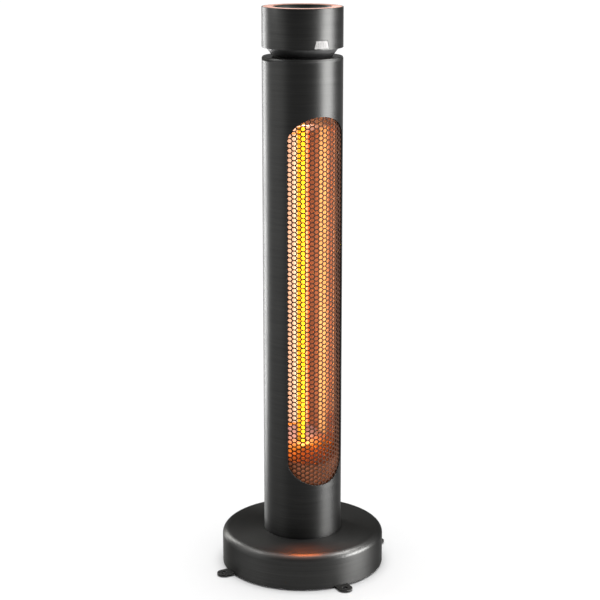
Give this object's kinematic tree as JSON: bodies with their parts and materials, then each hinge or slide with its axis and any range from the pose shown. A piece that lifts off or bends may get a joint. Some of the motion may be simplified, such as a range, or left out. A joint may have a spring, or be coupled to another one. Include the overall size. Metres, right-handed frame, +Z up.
{
  "type": "infrared patio heater tower",
  "caption": "Free-standing infrared patio heater: weighted round base, sheet-metal tower with a hexagonal mesh grille over its glowing lamp, and a round control head on a narrow neck.",
  "frame": {"origin": "on the floor, under the middle of the base", "axes": "+Z up along the tower; -Y is the front, where the lamp's window faces; +X is to the right of someone who looks at the front"},
  "size_m": [0.2714, 0.2714, 0.7915],
  "materials": {
    "gunmetal": "satin",
    "plain_steel": "satin",
    "grille_steel": "matte",
    "reflector_metal": "polished",
    "copper_trim": "satin",
    "ballast": "matte",
    "foot_rubber": "matte",
    "black_plastic": "satin",
    "pale_lens": "satin",
    "circuit_board": "satin",
    "lamp_ceramic": "matte",
    "lamp_quartz": "gloss",
    "lamp_element": "matte",
    "wire_sheath": "matte"
  },
  "bodies": {
    "tower": {"base_cover": "gunmetal", "base_plate": "plain_steel", "ballast_weight": "ballast", "tip_switch": "black_plastic", "cord_gland": "black_plastic", "gland_nut": "black_plastic", "terminal_block": "lamp_ceramic", "rubber_foot_1": "foot_rubber", "rubber_foot_2": "foot_rubber", "rubber_foot_3": "foot_rubber", "rubber_foot_4": "foot_rubber", "anchor_tab_1": "gunmetal", "anchor_tab_2": "gunmetal", "anchor_tab_3": "gunmetal", "anchor_tab_4": "gunmetal", "tab_screw_1": "plain_steel", "tab_screw_2": "plain_steel", "tab_screw_3": "plain_steel", "tab_screw_4": "plain_steel", "tower_tube": "gunmetal", "mast_flange": "plain_steel", "power_board": "circuit_board", "mesh_grille": "grille_steel", "reflector": "reflector_metal", "reflector_bottom_end": "reflector_metal", "reflector_top_end": "reflector_metal", "heat_shield": "reflector_metal", "quartz_tube": "lamp_quartz", "carbon_element": "lamp_element", "lamp_cap_bottom": "lamp_ceramic", "lamp_cap_top": "lamp_ceramic", "lamp_clip_bottom": "plain_steel", "lamp_clip_top": "plain_steel", "thermal_cutout": "black_plastic", "wiring_loom": "wire_sheath", "tube_cap": "gunmetal", "flange_bolt_1": "plain_steel", "flange_bolt_2": "plain_steel", "flange_bolt_3": "plain_steel", "flange_bolt_4": "plain_steel", "rear_screw_1": "plain_steel", "rear_screw_2": "plain_steel", "rear_screw_3": "plain_steel", "rear_screw_4": "plain_steel", "neck_cone": "black_plastic", "head_shell": "gunmetal", "trim_ring": "copper_trim", "control_panel": "black_plastic", "control_board": "circuit_board", "display_window": "pale_lens", "display_board": "circuit_board", "tact_switch_1": "black_plastic", "tact_switch_2": "black_plastic", "tact_switch_3": "black_plastic", "tact_switch_4": "black_plastic"},
    "power_key": {"power_button": "black_plastic"},
    "plus_key": {"plus_button": "black_plastic"},
    "minus_key": {"minus_button": "black_plastic"},
    "timer_key": {"timer_button": "black_plastic"},
    "tip_foot": {"tip_plunger": "black_plastic"}
  },
  "joints": [
    {"name": "power_press", "type": "slide", "parent": "tower", "child": "power_key", "axis": [0, 0, -1], "range_m": [0, 0.0008], "stiffness_N_per_m": 800, "springref_m": -0.0005},
    {"name": "plus_press", "type": "slide", "parent": "tower", "child": "plus_key", "axis": [0, 0, -1], "range_m": [0, 0.0008], "stiffness_N_per_m": 800, "springref_m": -0.0005},
    {"name": "minus_press", "type": "slide", "parent": "tower", "child": "minus_key", "axis": [0, 0, -1], "range_m": [0, 0.0008], "stiffness_N_per_m": 800, "springref_m": -0.0005},
    {"name": "timer_press", "type": "slide", "parent": "tower", "child": "timer_key", "axis": [0, 0, -1], "range_m": [0, 0.0008], "stiffness_N_per_m": 800, "springref_m": -0.0005},
    {"name": "tip_release", "type": "slide", "parent": "tower", "child": "tip_foot", "axis": [0, 0, -1], "range_m": [0, 0.004], "stiffness_N_per_m": 150, "springref_m": 0.01}
  ]
}
